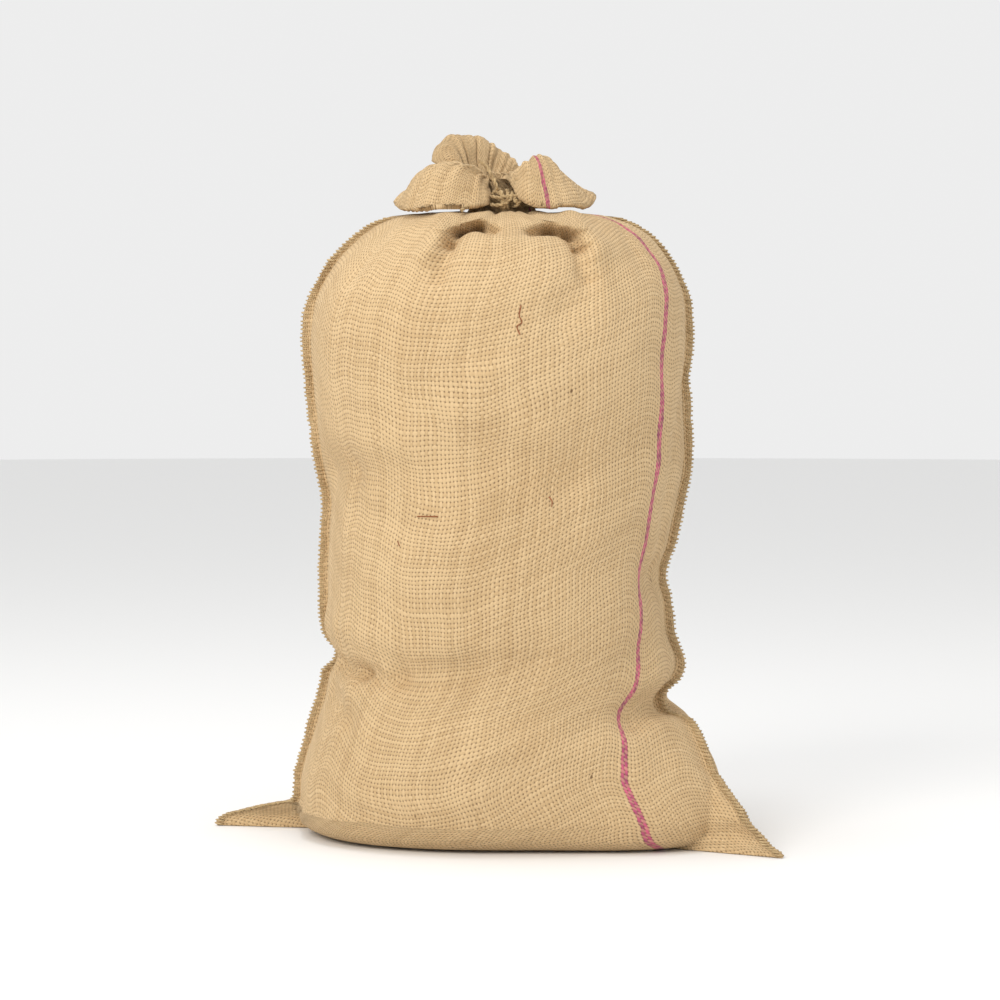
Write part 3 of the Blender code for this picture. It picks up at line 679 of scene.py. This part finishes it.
def tube(route, radius, sides=6, taper=0.0):
    """Points and faces of a closed round tube along a route; taper is the share of its radius lost at the end."""
    route = np.array(route, float)
    along = unit(np.gradient(route, axis=0))
    helper = np.array([0.0, 0.0, 1.0]) if abs(along[0][2]) < 0.9 else np.array([1.0, 0.0, 0.0])
    side = unit(np.cross(along[0], helper))
    points = []
    for number, (place, way) in enumerate(zip(route, along)):
        side = unit(side - way * np.dot(side, way))
        other = np.cross(way, side)
        thin = 1 - taper * number / (len(route) - 1)
        for k in range(sides):
            angle = 2 * math.pi * k / sides
            points.append(place + radius * thin * (side * math.cos(angle) + other * math.sin(angle)))
    faces = []
    for ring in range(len(route) - 1):
        for k in range(sides):
            after = (k + 1) % sides
            low, high = ring * sides, (ring + 1) * sides
            faces.append((low + k, low + after, high + after, high + k))
    faces.append(tuple(range(sides))[::-1])
    faces.append(tuple(range((len(route) - 1) * sides, len(route) * sides)))
    return points, faces


def joined(pieces):
    """Several lots of points and faces as one."""
    points, faces = [], []
    for more_points, more_faces in pieces:
        start = len(points)
        points += list(more_points)
        faces += [tuple(start + corner for corner in face) for face in more_faces]
    return points, faces


def smooth_route(route, step):
    """Points a step apart on a smooth curve through a route."""
    route = np.array(route, float)
    knots = lengths_along(route)
    slopes = np.gradient(route, knots, axis=0)
    at = np.linspace(0, knots[-1], max(4, int(knots[-1] / step) + 1))
    spot = np.clip(np.searchsorted(knots, at, side="right") - 1, 0, len(knots) - 2)
    span = (knots[spot + 1] - knots[spot])[:, None]
    part = (at - knots[spot])[:, None] / span
    return cubic(part, route[spot], slopes[spot] * span, route[spot + 1], slopes[spot + 1] * span)


def two_ply(route, taper=0.0):
    """Twine: two strands laid round each other along a route of closely spaced points."""
    route = np.array(route, float)
    along = unit(np.gradient(route, axis=0))
    helper = np.array([0.0, 0.0, 1.0]) if abs(along[0][2]) < 0.9 else np.array([1.0, 0.0, 0.0])
    side = unit(np.cross(along[0], helper))
    distance = lengths_along(route)
    strands = ([], [])
    for place, way, gone in zip(route, along, distance):
        side = unit(side - way * np.dot(side, way))
        other = np.cross(way, side)
        angle = 2 * math.pi * gone / TWIST
        offset = (side * math.cos(angle) + other * math.sin(angle)) * (TWINE / 2 - STRAND)
        strands[0].append(place + offset)
        strands[1].append(place - offset)
    return [tube(strand, STRAND, 7, taper) for strand in strands]


def make_tie(finish):
    """The turns of twine round the neck, as one spiral."""
    turns = 3
    steps = 520
    route = []
    for step in range(steps + 1):
        share = step / steps
        angle = -math.pi / 2 + 2 * math.pi * turns * share
        rise = (share - 0.5) * 2 * TWINE * 0.92
        reach = TIE_RADIUS + 0.5 * MM * math.sin(5 * angle)
        route.append(AXIS + [reach * math.cos(angle), reach * math.sin(angle), TIE_HEIGHT + rise])
    return mesh_object("neck_twine", *joined(two_ply(route)), finish)


# Loops of the knot, in front of the neck: right, towards the front and up from the knot's middle, in mm
KNOT_LOOPS = (
    ((-9, 6, 5), (-6, 0, 7), (-2, -3, 4), (1, -4, -1), (3, -2, -6), (4, 4, -8)),
    ((-4, 7, 8), (-3, 1, 8), (-1, -3, 5), (0, -4, 0), (-1, -3, -5), (-2, 3, -8)),
    ((3, 7, 8), (4, 1, 7), (4, -4, 3), (3, -5, -2), (1, -3, -6), (0, 3, -9)),
    ((8, 6, 6), (8, 0, 5), (7, -4, 1), (3, -5, -3), (-3, -4, -5), (-9, -1, -5), (-13, 3, -3)),
    ((-12, 4, 3), (-8, -2, 2), (-3, -5, 1), (3, -5, 2), (8, -3, 3), (12, 3, 2)),
    ((9, 4, -6), (12, -2, -5), (15, -3, -1), (14, -3, 3), (11, -3, 3), (9.5, -3, 0), (11, -3.5, -2), (12.5, -4, -0.5)),
)


def make_knot(finish, middle):
    pieces = []
    for loop in KNOT_LOOPS:
        route = [middle + np.array(place) * MM for place in loop]
        pieces += two_ply(smooth_route(route, 0.8 * MM))
    return mesh_object("tie_knot_loops", *joined(pieces), finish)


def end_route(route):
    """A free end's route, as in the CAD model."""
    route = np.array(route, float) * MM
    along = np.linspace(0, 1, len(route))
    at = np.linspace(0, 1, 33)
    smooth = np.stack([np.polyval(np.polyfit(along, route[:, k], 3), at) for k in range(3)], axis=1)
    return smooth + AXIS


def make_end(name, route, finish):
    """A free end of the twine."""
    path = end_route(route)
    thing = mesh_object(name + "_twine", *joined(two_ply(path)), finish)
    return thing


def make_stitches(name, body, side, finish):
    """Overcast stitches round one seam's edge, from the ear up to the neck."""
    count = body.shape[1]
    middle = 0 if side == "left" else count // 2
    front, back = body[:, middle], body[:, middle - 1]
    face = 1 if side == "left" else 1
    edge = 0.5 * (front + back)
    root = 0.5 * (body[:, middle + FLANGE_STEPS] + body[:, middle - 1 - FLANGE_STEPS])
    inwards = unit(root - edge)
    sideways = unit(front - back) * face
    along = lengths_along(edge)
    top = np.argmax(edge[:, 2] > 0.538) or len(edge) - 1
    pieces = []
    draw = np.random.default_rng(11 if side == "left" else 12)
    place = 2 * MM
    while place < along[top]:
        slant = STITCH_SLANT * draw.uniform(0.3, 1.3)
        reach = STITCH_REACH * draw.uniform(0.8, 1.15)
        radius = STITCH_THREAD * draw.uniform(0.8, 1.2)
        route = []
        profile = ((1, 1.9, -1), (0.75, 2.9, -0.75), (0.4, 2.8, -0.4), (0.0, 2.2, -0.1), (-0.22, 0, 0))
        profile += tuple((deep, -out, -rise) for deep, out, rise in profile[-2::-1])
        for deep, out, rise in profile:
            spot = place + slant * rise
            here = np.array([np.interp(spot, along, edge[:, k]) for k in range(3)])
            inner = np.array([np.interp(spot, along, inwards[:, k]) for k in range(3)])
            across = np.array([np.interp(spot, along, sideways[:, k]) for k in range(3)])
            route.append(here + inner * reach * deep + across * out * MM + AXIS)
        route = np.array(route)
        route[:, 2] = np.maximum(route[:, 2], radius)
        pieces.append(tube(route, radius, 5))
        place += STITCH_STEP * draw.uniform(0.85, 1.2)
    return mesh_object(name, *joined(pieces), finish)


def on_front(body, x, z):
    """The point of the body's front at x and z from the neck's axis and the floor, with its outward normal."""
    normal = normals_of(body)
    side = body[..., 1] < 0
    points, ways = body[side], normal[side]
    nearest = np.argmin((points[:, 0] - x) ** 2 + (points[:, 2] - z) ** 2)
    return points[nearest], ways[nearest]


# Bits of rust-coloured thread caught in the cloth: x and z in mm, as seen from the front
CAUGHT = (
    ((15, 462), (16, 457), (14, 452), (15, 447), (13, 442), (14, 438)),
    ((-72, 283), (-66, 284), (-60, 283), (-54, 284)),
    ((-88, 262), (-86, 258)),
    ((40, 300), (42, 296), (41, 292)),
)


def make_caught_threads(body, finish):
    pieces = []
    for line in CAUGHT:
        route = []
        for x, z in line:
            point, way = on_front(body, x * MM, z * MM)
            route.append(point + way * 0.5 * MM + AXIS)
        pieces.append(tube(smooth_route(route, 1.0 * MM), 0.45 * MM, 5))
    return mesh_object("caught_threads", *joined(pieces), finish)


# ---------------------------------------------------------------- materials


class Nodes:
    """Short names for building one material's node tree."""

    def __init__(self, name):
        self.material = bpy.data.materials.new(name)
        self.material.use_nodes = True
        self.tree = self.material.node_tree
        self.shader = self.tree.nodes["Principled BSDF"]

    def put(self, socket, value):
        if isinstance(value, bpy.types.NodeSocket):
            self.tree.links.new(value, socket)
        else:
            socket.default_value = value

    def math(self, operation, *values):
        node = self.tree.nodes.new("ShaderNodeMath")
        node.operation = operation
        for socket, value in zip(node.inputs, values):
            self.put(socket, value)
        return node.outputs[0]

    def combine(self, x, y, z=0.0):
        node = self.tree.nodes.new("ShaderNodeCombineXYZ")
        for socket, value in zip(node.inputs, (x, y, z)):
            self.put(socket, value)
        return node.outputs[0]

    def noise(self, place, scale, detail=2.0, rough=0.5):
        node = self.tree.nodes.new("ShaderNodeTexNoise")
        self.put(node.inputs["Vector"], place)
        node.inputs["Scale"].default_value = scale
        node.inputs["Detail"].default_value = detail
        node.inputs["Roughness"].default_value = rough
        return node.outputs["Fac"]

    def chance(self, number, seed):
        """A random value from 0 to 1 for each whole number."""
        node = self.tree.nodes.new("ShaderNodeTexWhiteNoise")
        node.noise_dimensions = "2D"
        self.put(node.inputs["Vector"], self.combine(number, seed))
        return node.outputs["Value"]

    def ramp(self, value, low, high, out_low=0.0, out_high=1.0):
        """value from low..high to out_low..out_high, smoothly and no further."""
        node = self.tree.nodes.new("ShaderNodeMapRange")
        node.interpolation_type = "SMOOTHSTEP"
        for socket, number in zip(node.inputs, (value, low, high, out_low, out_high)):
            self.put(socket, number)
        return node.outputs[0]

    def mix(self, share, first, second, blend="MIX"):
        node = self.tree.nodes.new("ShaderNodeMix")
        node.data_type = "RGBA"
        node.blend_type = blend
        self.put(node.inputs[0], share)
        for socket, colour in ((node.inputs[6], first), (node.inputs[7], second)):
            self.put(socket, (*colour, 1) if isinstance(colour, tuple) else colour)
        return node.outputs[2]

    def finish(self, colour, height, distance, rough, strength=1.0):
        bump = self.tree.nodes.new("ShaderNodeBump")
        bump.inputs["Strength"].default_value = strength
        bump.inputs["Distance"].default_value = distance
        self.put(bump.inputs["Height"], height)
        self.put(self.shader.inputs["Normal"], bump.outputs["Normal"])
        self.put(self.shader.inputs["Base Color"], colour)
        self.put(self.shader.inputs["Roughness"], rough)
        self.shader.inputs["Specular IOR Level"].default_value = 0.18
        self.shader.inputs["Sheen Weight"].default_value = 0.12
        self.shader.inputs["Sheen Roughness"].default_value = 0.6
        self.shader.inputs["Sheen Tint"].default_value = (0.95, 0.82, 0.62, 1)
        return self.material


def hessian_material():
    """Plain-woven jute with uneven yarns, slubs, specks of bark and one dyed stripe, with painted shade in the gaps
    between the yarns and painted glints of highlight.
    """
    n = Nodes("hessian_weave")
    uv = n.tree.nodes.new("ShaderNodeUVMap")
    uv.uv_map = "cloth"
    split = n.tree.nodes.new("ShaderNodeSeparateXYZ")
    n.put(split.inputs[0], uv.outputs[0])
    u, v = split.outputs[0], split.outputs[1]
    place = uv.outputs[0]

    def wandering(seed):
        shifted = n.combine(n.math("ADD", u, seed), n.math("ADD", v, seed))
        slow = n.math("MULTIPLY", n.math("SUBTRACT", n.noise(shifted, 14.0, 1.0), 0.5), 0.016)
        quick = n.math("MULTIPLY", n.math("SUBTRACT", n.noise(shifted, 130.0, 2.0), 0.5), 0.0016)
        return n.math("ADD", slow, quick)

    warp = n.math("DIVIDE", n.math("ADD", u, wandering(0.0)), WARP_PITCH)
    weft = n.math("DIVIDE", n.math("ADD", v, wandering(7.0)), WEFT_PITCH)
    end, pick = n.math("FLOOR", warp), n.math("FLOOR", weft)

    def swell(number, along, across_scale):
        """How thick a yarn is at a place: each its own, and slubby along its length."""
        own = n.math("MULTIPLY", n.chance(number, across_scale), 0.22)
        slub = n.noise(n.combine(n.math("MULTIPLY", number, 3.7), n.math("MULTIPLY", along, 55.0)), 1.0, 2.0)
        return n.math("ADD", own, n.math("MULTIPLY", n.math("SUBTRACT", slub, 0.5), 0.75))

    def profile(across, thick):
        """A yarn's round section, wider where it is thicker."""
        round_one = n.math("ABSOLUTE", n.math("SINE", n.math("MULTIPLY", across, math.pi)))
        return n.math("POWER", round_one, n.math("SUBTRACT", 0.82, thick))

    def parity(number):
        return n.math("SUBTRACT", 1.0, n.math("MULTIPLY", n.math("FLOORED_MODULO", number, 2.0), 2.0))

    warp_swell, weft_swell = swell(end, v, 1.0), swell(pick, u, 2.0)
    warp_over = n.math("MULTIPLY", parity(end), n.math("SINE", n.math("MULTIPLY", weft, math.pi)))
    weft_over = n.math("MULTIPLY", parity(pick), n.math("SINE", n.math("MULTIPLY", warp, math.pi)))
    warp_height = n.math("MULTIPLY", profile(warp, warp_swell), n.math("MULTIPLY_ADD", warp_over, 0.40, 0.60))
    weft_height = n.math("MULTIPLY", profile(weft, weft_swell), n.math("MULTIPLY_ADD", weft_over, -0.40, 0.60))
    height = n.math("MAXIMUM", warp_height, weft_height)
    warp_on_top = n.ramp(n.math("SUBTRACT", warp_height, weft_height), -0.05, 0.05)

    strands_u = n.noise(n.combine(n.math("MULTIPLY", u, 2400.0), n.math("MULTIPLY", v, 170.0)), 1.0, 2.0, 0.6)
    strands_v = n.noise(n.combine(n.math("MULTIPLY", u, 170.0), n.math("MULTIPLY", v, 2400.0)), 1.0, 2.0, 0.6)
    fibres = n.math("ADD", n.math("MULTIPLY", strands_u, warp_on_top),
                    n.math("MULTIPLY", strands_v, n.math("SUBTRACT", 1.0, warp_on_top)))

    warp_tone = n.math("ADD", n.chance(end, 5.0), n.noise(n.combine(end, n.math("MULTIPLY", v, 24.0)), 1.0, 1.0))
    weft_tone = n.math("ADD", n.chance(pick, 6.0), n.noise(n.combine(n.math("MULTIPLY", u, 24.0), pick), 1.0, 1.0))
    tone = n.math("ADD", n.math("MULTIPLY", warp_tone, warp_on_top),
                  n.math("MULTIPLY", weft_tone, n.math("SUBTRACT", 1.0, warp_on_top)))
    patches = n.noise(place, 9.0, 3.0, 0.55)
    pale = n.math("ADD", n.math("MULTIPLY", tone, 0.28), n.math("MULTIPLY", fibres, 0.50))
    pale = n.math("ADD", pale, n.math("MULTIPLY", patches, 0.55))
    colour = n.mix(n.ramp(pale, 0.42, 1.08), HESSIAN_MID, HESSIAN_PALE)

    # painted highlight: pale glints put into the colour at random
    painted_glints = n.ramp(n.noise(place, 520.0, 2.0, 0.7), 0.64, 0.74, 0.0, 0.55)
    colour = n.mix(painted_glints, colour, (0.86, 0.70, 0.46))

    first = n.math("COMPARE", end, float(STRIPE_END), 0.5)
    second = n.math("COMPARE", end, float(STRIPE_END + 1), 0.5)
    in_stripe = n.math("MAXIMUM", first, second)
    dye = n.ramp(n.noise(n.combine(end, n.math("MULTIPLY", v, 60.0)), 1.0, 2.0), 0.36, 0.62)
    pink = n.mix(dye, PINK_DARK, PINK)
    covered = n.math("MULTIPLY", in_stripe, n.math("MULTIPLY_ADD", warp_on_top, 0.35, 0.62))
    colour = n.mix(covered, colour, pink)

    # painted shade: where the weave is low, in the gaps between the yarns, the colour is darkened towards the gap
    # shade
    gap = n.ramp(height, 0.20, 0.56, 0.80, 0.0)
    colour = n.mix(gap, colour, PAINTED_GAP_SHADE)

    bark = n.tree.nodes.new("ShaderNodeTexVoronoi")
    bark.inputs["Scale"].default_value = 46.0
    n.put(bark.inputs["Vector"], n.combine(u, n.math("MULTIPLY", v, 0.55)))
    fleck = n.ramp(bark.outputs["Distance"], 0.035, 0.065, 1.0, 0.0)
    rare = n.tree.nodes.new("ShaderNodeSeparateColor")
    n.put(rare.inputs[0], bark.outputs["Color"])
    fleck = n.math("MULTIPLY", fleck, n.ramp(rare.outputs[0], 0.70, 0.74))
    colour = n.mix(n.math("MULTIPLY", fleck, 0.8), colour, (0.10, 0.05, 0.02))

    relief = n.math("ADD", height, n.math("MULTIPLY", fibres, 0.22))
    rough = n.ramp(fibres, 0.2, 0.8, 0.86, 0.98)
    return n.finish(colour, relief, 1.1 * MM, rough, 0.85)


def jute_material(name, pale, dark, fibre_scale):
    """Spun jute: pale and dark fibres running along the strands, with a hairy relief."""
    n = Nodes(name)
    where = n.tree.nodes.new("ShaderNodeTexCoord").outputs["Object"]
    coarse = n.noise(where, 240.0, 2.0)
    fine = n.noise(where, fibre_scale, 3.0, 0.65)
    share = n.math("ADD", n.math("MULTIPLY", coarse, 0.5), n.math("MULTIPLY", fine, 0.6))
    colour = n.mix(n.ramp(share, 0.38, 0.70), dark, pale)
    return n.finish(colour, fine, 0.5 * MM, n.ramp(fine, 0.2, 0.8, 0.82, 0.96), 0.8)


# ---------------------------------------------------------------- floor, light and camera

CAMERA_DISTANCE = 3.0
CAMERA_ELEVATION = 2.8
VIEW_WIDTH = 0.875  # metres of the object's plane that the picture's width takes in
TARGET = (0.0, 0.0, 0.292)
FLOOR_RADIUS = 9.0


def make_floor():
    shape = bmesh.new()
    bmesh.ops.create_circle(shape, cap_ends=True, segments=96, radius=FLOOR_RADIUS)
    mesh = bpy.data.meshes.new("studio_floor")
    shape.to_mesh(mesh)
    shape.free()
    floor = bpy.data.objects.new("studio_floor", mesh)
    bpy.context.scene.collection.objects.link(floor)
    made = bpy.data.materials.new("floor_white")
    made.use_nodes = True
    shader = made.node_tree.nodes["Principled BSDF"]
    shader.inputs["Base Color"].default_value = (0.86, 0.86, 0.855, 1)
    shader.inputs["Roughness"].default_value = 0.8
    mesh.materials.append(made)
    floor.location.z = -0.0005
    return floor


def area_light(name, place, aim, size, watts, colour=(1, 1, 1)):
    lamp = bpy.data.lights.new(name, "AREA")
    lamp.shape = "DISK"
    lamp.size = size
    lamp.energy = watts
    lamp.color = colour
    thing = bpy.data.objects.new(name, lamp)
    thing.location = place
    thing.rotation_euler = (Vector(aim) - Vector(place)).to_track_quat("-Z", "Y").to_euler()
    bpy.context.scene.collection.objects.link(thing)


def make_studio():
    make_floor()
    world = bpy.data.worlds.new("studio")
    world.use_nodes = True
    back = world.node_tree.nodes["Background"]
    back.inputs["Color"].default_value = (1.0, 1.0, 1.0, 1)
    back.inputs["Strength"].default_value = 0.85
    bpy.context.scene.world = world
    bpy.context.scene.view_settings.view_transform = "Standard"
    area_light("key", (-1.5, -2.3, 1.9), (0, 0, 0.32), 1.5, 46, (1.0, 0.97, 0.92))
    area_light("fill", (2.4, -1.6, 0.9), (0, 0, 0.3), 2.0, 6)
    area_light("top", (-0.3, -0.2, 2.6), (0, 0, 0.4), 1.4, 16)


def make_camera():
    lens = bpy.data.cameras.new("camera")
    lens.sensor_width = 36.0
    lens.lens = 36.0 * CAMERA_DISTANCE / VIEW_WIDTH
    camera = bpy.data.objects.new("camera", lens)
    rise = math.radians(CAMERA_ELEVATION)
    away = Vector((0, -math.cos(rise), math.sin(rise))) * CAMERA_DISTANCE
    camera.location = Vector(TARGET) + away
    camera.rotation_euler = (-away).to_track_quat("-Z", "Y").to_euler()
    bpy.context.scene.collection.objects.link(camera)
    bpy.context.scene.camera = camera


# ---------------------------------------------------------------- putting it together


def main():
    make_camera()
    make_studio()
    hessian = hessian_material()
    twine = jute_material("jute_twine_fibres", JUTE_PALE, JUTE_DARK, 1400.0)
    thread = jute_material("seam_thread_fibres", (0.60, 0.45, 0.25), (0.34, 0.23, 0.11), 1700.0)
    rust = jute_material("rust_thread_fibres", RUST, (0.20, 0.06, 0.02), 1700.0)

    ends = [("tie_end_low", END_LOW), ("tie_end_high", END_HIGH)]
    for name, route in ends:
        end = make_end(name, route, twine)
        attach(end, "root")
        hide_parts(name)

    sack, body = make_sack(hessian)
    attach(sack, "root")
    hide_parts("sack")

    tie = make_tie(twine)
    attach(tie, "root")
    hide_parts("neck_tie")

    knot_low, knot_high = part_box("tie_knot")
    knot = make_knot(twine, np.array((knot_low + knot_high) / 2))
    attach(knot, "root")
    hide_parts("tie_knot")

    extras = [make_stitches(side + "_seam_stitches", body, side, thread) for side in ("left", "right")]
    extras.append(make_caught_threads(body, rust))
    for piece in extras:
        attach(piece, "root")


main()
